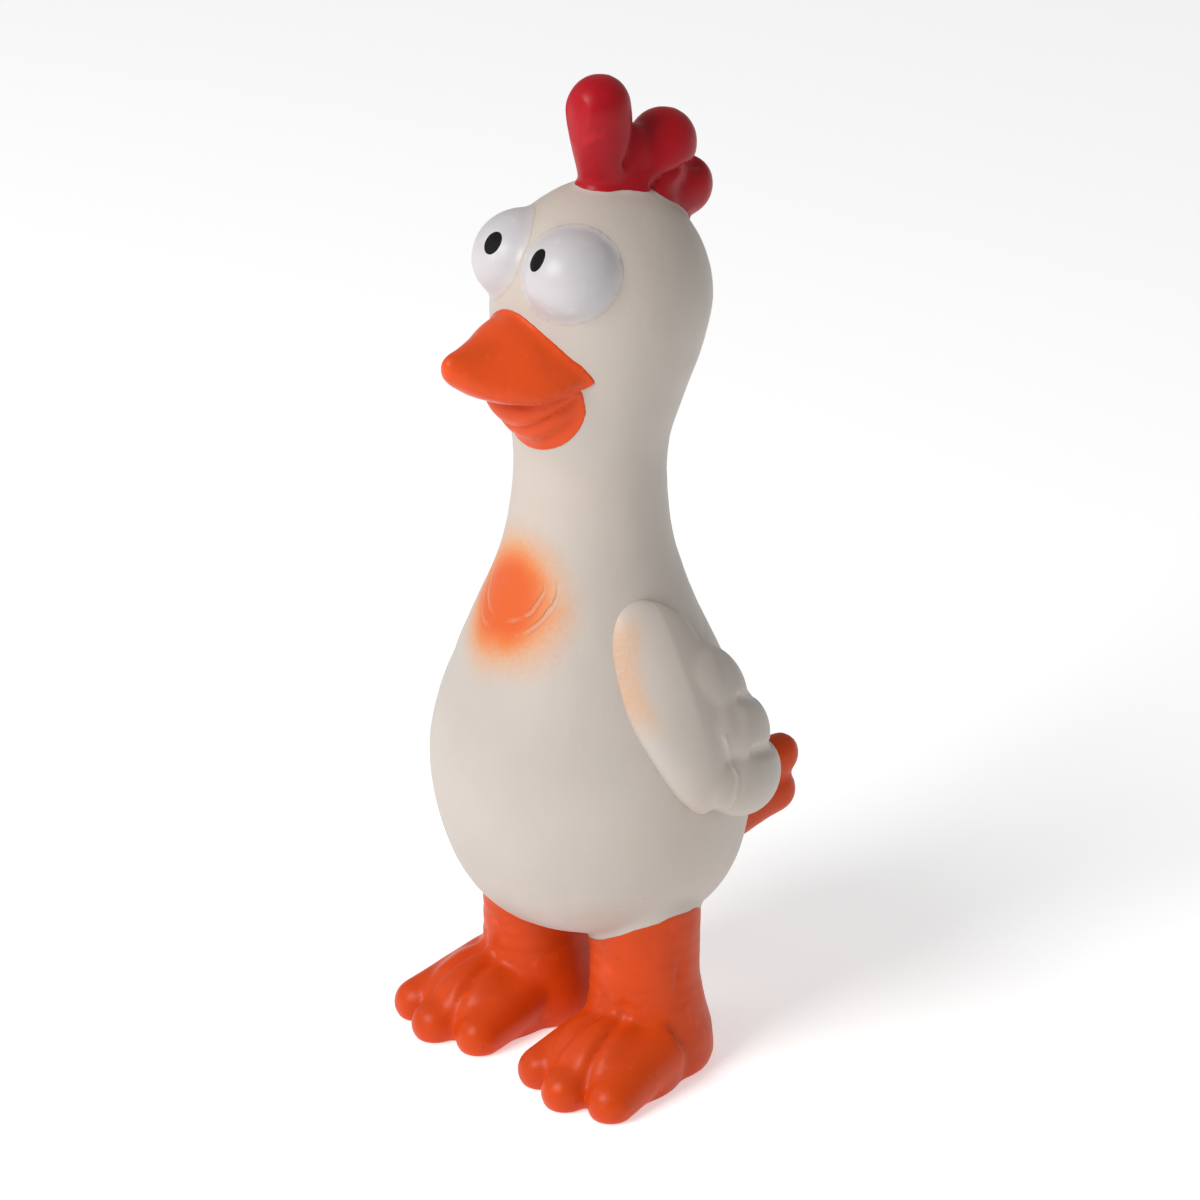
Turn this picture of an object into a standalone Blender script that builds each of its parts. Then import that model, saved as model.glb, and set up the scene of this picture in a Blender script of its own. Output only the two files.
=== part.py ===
"""Rubber chicken: a standing, stuffed latex moulding with a squeaker in its underside.

The chicken faces -Y, its left side is +X and it stands on z = 0. Lengths are given in
millimetres, measured from the middle of the legs, and turned into metres by MM where a mesh
is made. The skin is one moulding on the real toy. Here it is cut where its paint changes
colour and where it bends, and each region is a closed solid of its own.
"""
import math

import bmesh
import bpy
from mathutils import Matrix, Vector

MM = 0.001

# Skin
WALL = 2.0                      # thickness of the latex
GAP = 0.3                       # room between two pieces that touch
FILL_GAP = 0.6                  # room between the skin and the loose filling
SIDES = 24                      # sides of a round form

# Outline of the body, neck and head from the underside to the crown:
# height, half width, half depth, how far back its middle lies
OUTLINE = [
    (33.2, 9.0, 9.0, 2.0),
    (34.6, 17.0, 17.0, 2.0),
    (38.1, 25.0, 25.0, 2.0),
    (43.6, 30.3, 30.3, 2.0),
    (51.6, 34.3, 34.3, 1.6),
    (63.6, 37.0, 37.0, 0.9),
    (74.6, 37.7, 37.7, 0.3),
    (86.6, 35.6, 35.6, -0.2),
    (100.6, 30.1, 30.1, -0.8),
    (112.1, 25.2, 25.2, -1.1),
    (127.6, 19.7, 19.7, -0.5),
    (143.6, 17.6, 17.6, 0.0),
    (153.6, 18.0, 18.2, 0.4),
    (163.6, 20.2, 21.0, 1.4),
    (174.6, 22.5, 24.8, 2.7),
    (186.6, 23.6, 26.6, 3.6),
    (197.6, 21.2, 24.2, 3.2),
    (205.6, 16.0, 18.8, 3.0),
    (210.6, 9.5, 11.5, 3.0),
    (212.9, 3.5, 4.5, 3.0),
]

# The neck bends about two pivots on its middle line: forwards and back at the lower one, to
# either side at the upper one. A ball round each pivot parts the skin there.
NECK_PIVOT = Vector((0, 0, 127.6))
NECK_BALL = 24.0
HEAD_PIVOT = Vector((0, 0, 149.6))
SHOULDER = 130.0                # the torso's form ends here, inside the lower ball
HEAD_BALL = 22.0
BALL_GAP = 0.4                  # from the middle of a ball joint's gap to either skin

# The front of the belly, pressed straight back by a thumb
BELLY_MIDDLE = Vector((0, 0, 74.6))
BELLY_RADIUS = 26.0

# Legs and feet
LEG_X = 19.0
LEG_RADIUS = 12.8
LEG_SECTIONS = [                # height, radius, how far back the middle lies
    (-3.0, 14.8, 1.5),
    (6.0, 15.2, 1.5),
    (15.0, 13.8, 0.8),
    (24.0, 12.8, 0.0),
    (44.0, LEG_RADIUS, 0.0),
]
LEG_BORE = 10.4
LEG_HOLE_LEVELS = (24.0, 48.5)  # from under the body to inside it
SOLE = 4.0                      # thickness of rubber under a leg's hollow
INSTEP = Vector((2.0, -10.0, 6.0))
INSTEP_SIZE = Vector((14.5, 17.0, 12.0))
TOE_ROOT = Vector((1.5, -6.0, 6.5))
TOE_ROOT_RADIUS = 8.0
TOE_TIP_RADIUS = 6.8
TOE_HEIGHT = 5.2
TOES = [(-7.5, -24.0), (3.5, -27.0), (14.6, -23.5)]     # tips, outward and forward of a leg

# Tail: two fingers in the middle plane
TAIL_FINGERS = [                # root and tip
    (Vector((0, 26.0, 46.0)), Vector((0, 60.5, 54.5))),
    (Vector((0, 26.4, 41.5)), Vector((0, 60.0, 46.0))),
]
TAIL_ROOT_RADIUS = 9.0
TAIL_TIP_RADIUS = 5.5
TAIL_HINGE = Vector((0, 36, 46.5))
TAIL_SWING = (-12, -6, 6, 12)   # degrees up and down at which the tail clears the body

# Wings. A lobe is shaped flat and then laid on the body's side: the middle's way round the
# body (0 is the side, above 0 is towards the back), how far out it is and its height, then the
# half sizes the same way, and the turn of the lobe in degrees.
WING_STRETCH = 5.0              # how far out of the body a lobe keeps its length
WING_LEAF = (Vector((-1.3, 0.8, 95.8)), Vector((12.3, 5.2, 24.5)), -9.5)
WING_FEATHERS = [
    (Vector((9.5, 3.0, 102.5)), Vector((12.5, 4.0, 7.2)), 23.0),
    (Vector((13.0, 3.2, 91.5)), Vector((16.0, 4.2, 8.8)), 21.0),
    (Vector((17.0, 3.2, 75.5)), Vector((19.0, 4.2, 8.8)), 12.0),
]
WING_HINGE = Vector((27.0, -16.2, 95.6))

# Comb: root, tip, radii of three fingers in the middle plane
COMB_FINGERS = [
    (Vector((0, 5.5, 206.5)), Vector((0, 2.6, 230.8)), 6.0, 7.2),
    (Vector((0, 12.0, 205.5)), Vector((0, 24.8, 219.0)), 6.2, 6.6),
    (Vector((0, 17.0, 202.5)), Vector((0, 30.6, 205.6)), 6.0, 5.4),
]
COMB_BASE = (Vector((0, 13.5, 208.0)), Vector((5.8, 13.0, 12.0)))
COMB_BASE_TILT = math.radians(-24)
COMB_HINGE = Vector((0, 15, 209))
COMB_SWING = (-12.4, -6.2, 6, 12)   # degrees to either side at which the comb clears the head

# Face
EYE_MIDDLE = Vector((8.9, -13.0, 196.0))
EYE_SIZE = Vector((10.8, 12.5, 11.5))
PUPIL_SPOT = Vector((7.5, -22.8, 202.8))
PUPIL_SIZE = Vector((1.8, 2.5, 0))
PUPIL_DEPTH = 0.7
BEAK_SECTIONS = [               # how far forward, half width, lower edge, ridge
    (14.0, 18.5, 173.5, 190.0),
    (20.0, 17.0, 171.0, 189.5),
    (26.0, 13.8, 170.0, 187.6),
    (31.5, 10.5, 171.0, 185.4),
    (37.0, 7.0, 173.4, 183.4),
    (41.5, 3.8, 176.4, 182.0),
    (43.8, 1.6, 178.4, 181.0),
]
BEAK_UNDERSIDE = 2.0            # crown of the upper beak's lower face
BEAK_HINGE = Vector((0, -18, 187))
BEAK_SWING = (-10, -5, 2, 4)    # degrees up and down at which the upper beak clears the head
JAW = (Vector((0, -13.5, 168.6)), Vector((17.5, 12.8, 14.0)))
MOUTH = (Vector((0, -19.5, 170.6)), Vector((13.5, 10.5, 10.5)))
TONGUE = (Vector((0, -19.0, 164.1)), Vector((8.0, 6.5, 3.0)))

# Squeaker: a flanged plastic barrel with a reed clamped on a half-round block inside it
SQUEAKER = Vector((0, 12, 0))
SQUEAKER_FLANGE = 8.5
SQUEAKER_BARREL = 6.5
SQUEAKER_BORE = 5.2
SQUEAKER_OUTLET = 1.6
SQUEAKER_LEVELS = (31.5, 32.8, 38.0, 39.2, 48.6)   # outer flange, inner flange, top
REED_BLOCK_RADIUS = 4.8
REED_BLOCK_LEVELS = (35.6, 47.1)
REED_CHANNEL = Vector((3.6, 1.6, 8.0))
REED = Vector((4.6, 0.3, 10.0))
REED_LOW = 36.6
REED_CLAMP_HEIGHT = 3.6

# How far the box round the whole chicken is moved to bring its middle over the origin
TO_MIDDLE = Vector((0, -11.1, 0))

CREAM = (0.78, 0.70, 0.60)
ORANGE = (0.80, 0.09, 0.015)
LATEX_ROUGHNESS = 0.42


# ---- making and joining solids ----

def solid(name, shape):
    """Makes an object in metres from a closed bmesh in millimetres."""
    bmesh.ops.scale(shape, vec=Vector((MM, MM, MM)), verts=shape.verts)
    bmesh.ops.recalc_face_normals(shape, faces=shape.faces)
    mesh = bpy.data.meshes.new(name)
    shape.to_mesh(mesh)
    shape.free()
    piece = bpy.data.objects.new(name, mesh)
    bpy.context.scene.collection.objects.link(piece)
    return piece


def discard(piece):
    mesh = piece.data
    bpy.data.objects.remove(piece)
    bpy.data.meshes.remove(mesh)


def combine(piece, tool, operation, keep_tool=False):
    """Applies an exact Boolean to a piece and throws its tool away unless it is wanted."""
    change = piece.modifiers.new(operation.lower(), "BOOLEAN")
    change.operation = operation
    change.solver = "EXACT"
    change.object = tool
    seen = piece.evaluated_get(bpy.context.evaluated_depsgraph_get())
    mesh = bpy.data.meshes.new_from_object(seen)
    piece.modifiers.clear()
    old = piece.data
    piece.data = mesh
    bpy.data.meshes.remove(old)
    mesh.name = piece.name
    if not keep_tool:
        discard(tool)


def cut(piece, *tools):
    for tool in tools:
        combine(piece, tool, "DIFFERENCE")


def cut_and_keep(piece, *tools):
    for tool in tools:
        combine(piece, tool, "DIFFERENCE", keep_tool=True)


def join(piece, *tools):
    for tool in tools:
        combine(piece, tool, "UNION")


def only_inside(piece, tool):
    combine(piece, tool, "INTERSECT")


def clear_swing(piece, neighbour, pivot, axis, angles):
    """Cuts a piece back so that it clears its neighbour at each angle of its swing."""
    for angle in angles:
        turned_back = neighbour.copy()
        turned_back.data = neighbour.data.copy()
        bpy.context.scene.collection.objects.link(turned_back)
        place = Matrix.Translation(pivot * MM) @ Matrix.Rotation(-math.radians(angle), 4, axis)
        turned_back.data.transform(place @ Matrix.Translation(-pivot * MM))
        cut(piece, turned_back)


def loft(name, sections):
    """Bridges closed rings into one solid. A section maps a point of a unit circle."""
    shape = bmesh.new()
    rings = []
    for section in sections:
        circle = bmesh.ops.create_circle(shape, segments=SIDES, radius=1.0)
        for vert in circle["verts"]:
            vert.co = section(vert.co.x, vert.co.y)
        edges = {edge for vert in circle["verts"] for edge in vert.link_edges}
        rings.append(list(edges))
    for lower, upper in zip(rings, rings[1:]):
        bmesh.ops.bridge_loops(shape, edges=lower + upper)
    bmesh.ops.contextual_create(shape, geom=rings[0])
    bmesh.ops.contextual_create(shape, geom=rings[-1])
    return solid(name, shape)


def flat_ring(height, half_width, half_depth, back):
    return lambda u, v: Vector((half_width * u, back + half_depth * v, height))


def ellipsoid(name, middle, half, tilt=0.0, sides=16):
    """An ellipsoid, tilted about X."""
    shape = bmesh.new()
    place = Matrix.Translation(middle) @ Matrix.Rotation(tilt, 4, "X")
    place = place @ Matrix.Diagonal(half.to_4d())
    bmesh.ops.create_uvsphere(
        shape, u_segments=sides, v_segments=sides * 5 // 8, radius=1.0, matrix=place)
    return solid(name, shape)


def ball(name, middle, radius):
    return ellipsoid(name, middle, Vector((radius, radius, radius)), sides=32)


def block(name, low, high):
    shape = bmesh.new()
    middle = (low + high) / 2
    place = Matrix.Translation(middle) @ Matrix.Diagonal((high - low).to_4d())
    bmesh.ops.create_cube(shape, size=1.0, matrix=place)
    return solid(name, shape)


def rod(name, start, end, radius, sides=SIDES):
    """A plain cylinder from one point to another."""
    shape = bmesh.new()
    along = end - start
    turn = along.to_track_quat("Z", "Y").to_matrix().to_4x4()
    place = Matrix.Translation((start + end) / 2) @ turn
    bmesh.ops.create_cone(
        shape, cap_ends=True, segments=sides, radius1=radius, radius2=radius,
        depth=along.length, matrix=place)
    return solid(name, shape)


def finger(name, root, tip, root_radius, tip_radius, sides=16):
    """A round finger that swells or tapers from its root to a domed tip."""
    along = tip - root
    turn = along.to_track_quat("Z", "Y").to_matrix()
    stations = [(0.0, root_radius), (0.55, (root_radius + tip_radius) / 2), (1.0, tip_radius)]
    places = [(along.length * share, radius) for share, radius in stations]
    for angle in (30, 58, 80):
        lift = tip_radius * math.sin(math.radians(angle))
        places.append((along.length + lift, tip_radius * math.cos(math.radians(angle))))
    shape = bmesh.new()
    rings = []
    for height, radius in places:
        place = Matrix.Translation(root + turn @ Vector((0, 0, height))) @ turn.to_4x4()
        circle = bmesh.ops.create_circle(shape, segments=sides, radius=radius, matrix=place)
        edges = {edge for vert in circle["verts"] for edge in vert.link_edges}
        rings.append(list(edges))
    for lower, upper in zip(rings, rings[1:]):
        bmesh.ops.bridge_loops(shape, edges=lower + upper)
    bmesh.ops.contextual_create(shape, geom=rings[0])
    bmesh.ops.contextual_create(shape, geom=rings[-1])
    return solid(name, shape)


def mirrored(side, point):
    return Vector((side * point.x, point.y, point.z))


# ---- the body's form ----

def body_form(name, inset, low=0.0, high=300.0):
    """The body, neck and head as one solid, its surface moved inwards by an inset."""
    sections = []
    for index, (height, width, depth, back) in enumerate(OUTLINE):
        before = OUTLINE[max(index - 1, 0)]
        after = OUTLINE[min(index + 1, len(OUTLINE) - 1)]
        rise = after[0] - before[0]
        spread = (after[1] + after[2] - before[1] - before[2]) / 2
        length = math.hypot(rise, spread)
        drop = -inset * spread / length
        draw_in = inset * rise / length
        if index == 0:
            drop = -inset
        if index == len(OUTLINE) - 1:
            drop = inset
        if low <= height <= high:
            sections.append(flat_ring(height - drop, width - draw_in, depth - draw_in, back))
    return loft(name, sections)


def joint_bed(name, pivot, radius):
    """All that lies outside a ball and below its middle, so what is left of a skin after it is
    cut away ends in the ball."""
    bed = block(name, pivot + Vector((-70, -70, -70)), pivot + Vector((70, 70, 0)))
    cut(bed, ball("bed_ball", pivot, radius))
    return bed


def squeaker_room(name, radius):
    """A cylinder round the squeaker, from under the body to clear of the barrel's top."""
    foot = SQUEAKER + Vector((0, 0, SQUEAKER_LEVELS[0] - 5))
    head = SQUEAKER + Vector((0, 0, SQUEAKER_LEVELS[-1] + FILL_GAP))
    return rod(name, foot, head, radius)


# ---- pieces ----

def make_torso():
    torso = body_form("torso_skin", 0, high=SHOULDER)
    cut(torso, body_form("hollow", WALL, high=SHOULDER))
    cut(torso, ball("neck_socket", NECK_PIVOT, NECK_BALL + BALL_GAP))
    reach = BELLY_MIDDLE + Vector((0, -60, 0))
    cut(torso, rod("belly_hole", BELLY_MIDDLE, reach, BELLY_RADIUS + GAP))
    for side in (-1, 1):
        foot = Vector((side * LEG_X, 0, LEG_HOLE_LEVELS[0]))
        head = Vector((side * LEG_X, 0, LEG_HOLE_LEVELS[1]))
        cut(torso, rod("leg_hole", foot, head, LEG_BORE))
    cut(torso, squeaker_room("squeaker_hole", SQUEAKER_BARREL + GAP))
    return torso


def make_belly():
    belly = body_form("belly_panel", 0, high=SHOULDER)
    cut(belly, body_form("hollow", WALL, high=SHOULDER))
    reach = BELLY_MIDDLE + Vector((0, -60, 0))
    only_inside(belly, rod("belly_edge", BELLY_MIDDLE, reach, BELLY_RADIUS - GAP))
    return belly


def make_neck():
    neck = body_form("neck_skin", 0, low=100, high=144)
    cut(neck, body_form("hollow", WALL, low=90, high=155))
    cut(neck, joint_bed("bed", NECK_PIVOT, NECK_BALL - BALL_GAP))
    cut(neck, ball("head_socket", HEAD_PIVOT, HEAD_BALL + BALL_GAP))
    return neck


def make_head():
    head = body_form("head_skin", 0, low=127)
    cut(head, body_form("hollow", WALL, low=111))
    cut(head, joint_bed("bed", HEAD_PIVOT, HEAD_BALL - BALL_GAP))
    return head


def make_fillings():
    inset = WALL + FILL_GAP
    clear = FILL_GAP + BALL_GAP
    torso = body_form("torso_filling", inset, high=SHOULDER)
    cut(torso, ball("neck_room", NECK_PIVOT, NECK_BALL + clear))
    cut(torso, squeaker_room("squeaker_room", SQUEAKER_FLANGE + FILL_GAP))
    neck = body_form("neck_filling", inset, low=100, high=144)
    cut(neck, joint_bed("bed", NECK_PIVOT, NECK_BALL - clear))
    cut(neck, ball("head_room", HEAD_PIVOT, HEAD_BALL + clear))
    head = body_form("head_filling", inset, low=127)
    cut(head, joint_bed("bed", HEAD_PIVOT, HEAD_BALL - clear))
    return torso, neck, head


def make_leg(side, body):
    """One leg and its foot, hollow down to the sole and open at the top."""
    axis = Vector((side * LEG_X, 0, 0))
    sections = [
        lambda u, v, z=z, r=r, back=back: axis + Vector((r * u, back + r * v, z))
        for z, r, back in LEG_SECTIONS
    ]
    leg = loft("leg_left" if side > 0 else "leg_right", sections)
    join(leg, ellipsoid("instep", axis + mirrored(side, INSTEP), INSTEP_SIZE))
    for out, forward in TOES:
        tip = axis + Vector((side * out, forward, TOE_HEIGHT))
        root = axis + mirrored(side, TOE_ROOT)
        join(leg, finger("toe", root, tip, TOE_ROOT_RADIUS, TOE_TIP_RADIUS, sides=12))
    cut(leg, block("floor", axis + Vector((-60, -60, -30)), axis + Vector((60, 60, 0))))
    bottom = axis + Vector((0, 0, SOLE))
    cut(leg, rod("bore", bottom, bottom + Vector((0, 0, 50)), LEG_BORE))
    cut_and_keep(leg, body)
    return leg


def outline_at(height):
    """Half width, half depth and middle of the body at a height."""
    for low, high in zip(OUTLINE, OUTLINE[1:]):
        if low[0] <= height <= high[0]:
            share = (height - low[0]) / (high[0] - low[0])
            return [a + (b - a) * share for a, b in zip(low[1:], high[1:])]
    raise ValueError("the height is past the body's ends")


def wing_lobe(name, side, lobe, inset=0.0, sides=16):
    """An ellipsoid shaped flat and laid on the side of the body."""
    middle, half, turn = lobe
    half = half - Vector((inset, inset, inset))
    place = Matrix.Translation(middle) @ Matrix.Rotation(math.radians(turn), 4, "Y")
    place = place @ Matrix.Diagonal(half.to_4d())
    shape = bmesh.new()
    bmesh.ops.create_uvsphere(
        shape, u_segments=sides, v_segments=sides * 5 // 8, radius=1.0, matrix=place)
    for vert in shape.verts:
        along, out, height = vert.co
        half_width, half_depth, back = outline_at(height)
        angle = along / (half_width + WING_STRETCH)
        vert.co = Vector((side * (half_width + out) * math.cos(angle),
                          back + (half_depth + out) * math.sin(angle), height))
    return solid(name, shape)


def make_wing(side, body):
    """A dish-shaped leaf with three rear feathers, open towards the body."""
    name = "wing_left" if side > 0 else "wing_right"
    wing = wing_lobe(name, side, WING_LEAF, sides=20)
    for feather in WING_FEATHERS:
        join(wing, wing_lobe("feather", side, feather, sides=12))
    cut(wing, wing_lobe("hollow", side, WING_LEAF, WALL))
    cut_and_keep(wing, body)
    return wing


def make_tail(body):
    (root, tip), (low_root, low_tip) = TAIL_FINGERS
    tail = finger("tail", root, tip, TAIL_ROOT_RADIUS, TAIL_TIP_RADIUS)
    join(tail, finger("finger", low_root, low_tip, TAIL_ROOT_RADIUS, TAIL_TIP_RADIUS))
    cut_and_keep(tail, body)
    clear_swing(tail, body, TAIL_HINGE, "X", TAIL_SWING)
    inner_root = TAIL_ROOT_RADIUS - WALL
    inner_tip = TAIL_TIP_RADIUS - WALL
    for root, tip in TAIL_FINGERS:
        cut(tail, finger("hollow", root, tip, inner_root, inner_tip, sides=12))
    return tail


def make_comb(body):
    middle, half = COMB_BASE
    comb = ellipsoid("comb", middle, half, COMB_BASE_TILT)
    for root, tip, root_radius, tip_radius in COMB_FINGERS:
        join(comb, finger("finger", root, tip, root_radius, tip_radius))
    for root, tip, root_radius, tip_radius in COMB_FINGERS:
        inner = finger("hollow", root, tip, root_radius - WALL, tip_radius - WALL, sides=12)
        cut(comb, inner)
    cut_and_keep(comb, body)
    clear_swing(comb, body, COMB_HINGE, "Y", COMB_SWING)
    return comb


def eye_form(name, side, inset):
    half = EYE_SIZE - Vector((inset, inset, inset))
    return ellipsoid(name, mirrored(side, EYE_MIDDLE), half, sides=20)


def make_eye(side, body):
    """One eyeball and the spot of black set into its front."""
    word = "left" if side > 0 else "right"
    eye = eye_form("eye_" + word, side, 0)
    cut(eye, eye_form("hollow", side, WALL))
    inner = side * GAP / 2
    outer = side * 60
    only_inside(eye, block("half", Vector((min(inner, outer), -60, 150)),
                           Vector((max(inner, outer), 60, 250))))
    cut_and_keep(eye, body)
    spot = mirrored(side, PUPIL_SPOT)
    half = Vector((EYE_SIZE.x, EYE_SIZE.y, EYE_SIZE.z))
    offset = spot - mirrored(side, EYE_MIDDLE)
    outward = Vector([offset[i] / half[i] ** 2 for i in range(3)]).normalized()
    shape = bmesh.new()
    turn = outward.to_track_quat("Z", "Y").to_matrix().to_4x4()
    place = Matrix.Translation(spot) @ turn
    widen = Matrix.Diagonal((PUPIL_SIZE.x, PUPIL_SIZE.y, 1, 1))
    bmesh.ops.create_cone(
        shape, cap_ends=True, segments=16, radius1=1, radius2=1, depth=6,
        matrix=place @ widen)
    pupil = solid("pupil_" + word, shape)
    only_inside(pupil, eye_form("front", side, 0))
    cut(pupil, eye_form("back", side, PUPIL_DEPTH))
    wide = bmesh.new()
    widen = Matrix.Diagonal((PUPIL_SIZE.x + GAP, PUPIL_SIZE.y + GAP, 1, 1))
    bmesh.ops.create_cone(
        wide, cap_ends=True, segments=16, radius1=1, radius2=1, depth=6,
        matrix=place @ widen)
    pocket = solid("pocket", wide)
    cut(pocket, eye_form("back", side, PUPIL_DEPTH + GAP))
    cut(eye, pocket)
    return eye, pupil


def beak_form(name, inset):
    sections = []
    for forward, width, edge, ridge in BEAK_SECTIONS:
        wide = max(width - inset, 0.6)
        low = edge + inset
        high = max(ridge - inset, low + 0.6)
        sections.append(
            lambda u, v, y=-forward, wide=wide, low=low, high=high:
            Vector((wide * u, y, low + (high - low) * max(v, 0) + BEAK_UNDERSIDE * min(v, 0))))
    return loft(name, sections)


def make_beak(body):
    upper = beak_form("upper_beak", 0)
    inner = beak_form("hollow", WALL)
    cut(inner, block("tip", Vector((-60, -60, 150)), Vector((60, -36, 250))))
    cut(upper, inner)
    cut_and_keep(upper, body)
    clear_swing(upper, body, BEAK_HINGE, "X", BEAK_SWING)
    for side in (-1, 1):
        eye_room = eye_form("room", side, -GAP)
        clear_swing(upper, eye_room, BEAK_HINGE, "X", BEAK_SWING)
        cut(upper, eye_room)
    middle, half = JAW
    jaw = ellipsoid("lower_beak", middle, half, sides=24)
    room = beak_form("room", -GAP)
    clear_swing(jaw, room, BEAK_HINGE, "X", [-angle for angle in BEAK_SWING])
    cut_and_keep(jaw, room)
    middle, half = MOUTH
    cut(jaw, ellipsoid("mouth", middle, half, sides=20))
    cut_and_keep(jaw, body)
    middle, half = TONGUE
    tongue = ellipsoid("tongue", middle, half)
    cut(tongue, room)
    cut_and_keep(tongue, body)
    wider = half + Vector((GAP, GAP, GAP))
    cut(jaw, ellipsoid("tongue_room", middle, wider))
    return upper, jaw, tongue


def turned(name, profile, axis):
    """A profile of radii and heights, listed up its outside and down its bore, spun round."""
    shape = bmesh.new()
    verts = [shape.verts.new(axis + Vector((radius, 0, height))) for radius, height in profile]
    edges = [shape.edges.new(pair) for pair in zip(verts, verts[1:] + verts[:1])]
    bmesh.ops.spin(
        shape, geom=verts + edges, cent=axis, axis=Vector((0, 0, 1)), dvec=Vector(),
        angle=math.tau, steps=SIDES, use_merge=True, use_duplicate=False)
    bmesh.ops.remove_doubles(shape, verts=shape.verts, dist=0.01)
    return solid(name, shape)


def make_squeaker():
    base, groove, inner, shoulder, top = SQUEAKER_LEVELS
    housing = turned("squeaker_housing", [
        (SQUEAKER_FLANGE, base), (SQUEAKER_FLANGE, groove), (SQUEAKER_BARREL, groove),
        (SQUEAKER_BARREL, inner), (SQUEAKER_FLANGE - 0.5, inner),
        (SQUEAKER_FLANGE - 0.5, shoulder), (SQUEAKER_BARREL, shoulder),
        (SQUEAKER_BARREL, top), (SQUEAKER_BORE, top), (SQUEAKER_BORE, base + 1.5),
        (SQUEAKER_OUTLET, base + 1.5), (SQUEAKER_OUTLET, base),
    ], SQUEAKER)
    low, high = REED_BLOCK_LEVELS
    foot = SQUEAKER + Vector((0, 0, low))
    head = SQUEAKER + Vector((0, 0, high))
    face = SQUEAKER.y - REED.y / 2 - GAP
    reed_block = rod("squeaker_reed_block", foot, head, REED_BLOCK_RADIUS)
    cut(reed_block, block("front", Vector((-20, face, 0)), Vector((20, 60, 100))))
    channel_low = Vector((-REED_CHANNEL.x / 2, face - REED_CHANNEL.y, low - 5))
    channel_high = Vector((REED_CHANNEL.x / 2, face + 5, low + REED_CHANNEL.z))
    cut(reed_block, block("channel", channel_low, channel_high))
    half = Vector((REED.x, REED.y, 0)) / 2
    reed_foot = Vector((SQUEAKER.x, SQUEAKER.y, REED_LOW))
    reed = block("squeaker_reed", reed_foot - half, reed_foot + half + Vector((0, 0, REED.z)))
    clamp_foot = SQUEAKER + Vector((0, 0, high - REED_CLAMP_HEIGHT))
    clamp = rod("squeaker_reed_clamp", clamp_foot, head, REED_BLOCK_RADIUS)
    clamp_face = SQUEAKER.y + REED.y / 2 + GAP
    cut(clamp, block("back", Vector((-20, -60, 0)), Vector((20, clamp_face, 100))))
    return housing, reed_block, reed, clamp


# ---- finishes and places ----

def finish(piece, colour, roughness, metallic=0.0):
    material = bpy.data.materials.new(piece.name)
    material.use_nodes = True
    shader = material.node_tree.nodes["Principled BSDF"]
    shader.inputs["Base Color"].default_value = (*colour, 1.0)
    shader.inputs["Roughness"].default_value = roughness
    shader.inputs["Metallic"].default_value = metallic
    piece.data.materials.clear()
    piece.data.materials.append(material)


def smooth(piece, angle=50):
    piece.data.shade_smooth()
    piece.data.set_sharp_from_angle(angle=math.radians(angle))


def axis_point(name, point, parent):
    """An empty on a joint's axis, under the body that carries it."""
    empty = bpy.data.objects.new(name, None)
    empty.empty_display_size = 10 * MM
    bpy.context.scene.collection.objects.link(empty)
    world = (point + TO_MIDDLE) * MM
    empty.parent = parent
    empty.location = world - (Vector(parent["world"]) if parent else Vector())
    empty["world"] = world
    return empty


def hang(piece, empty):
    """Puts a piece's origin on its joint's axis and hangs it there."""
    shift = TO_MIDDLE * MM - Vector(empty["world"])
    piece.data.transform(Matrix.Translation(shift))
    piece.parent = empty


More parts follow.
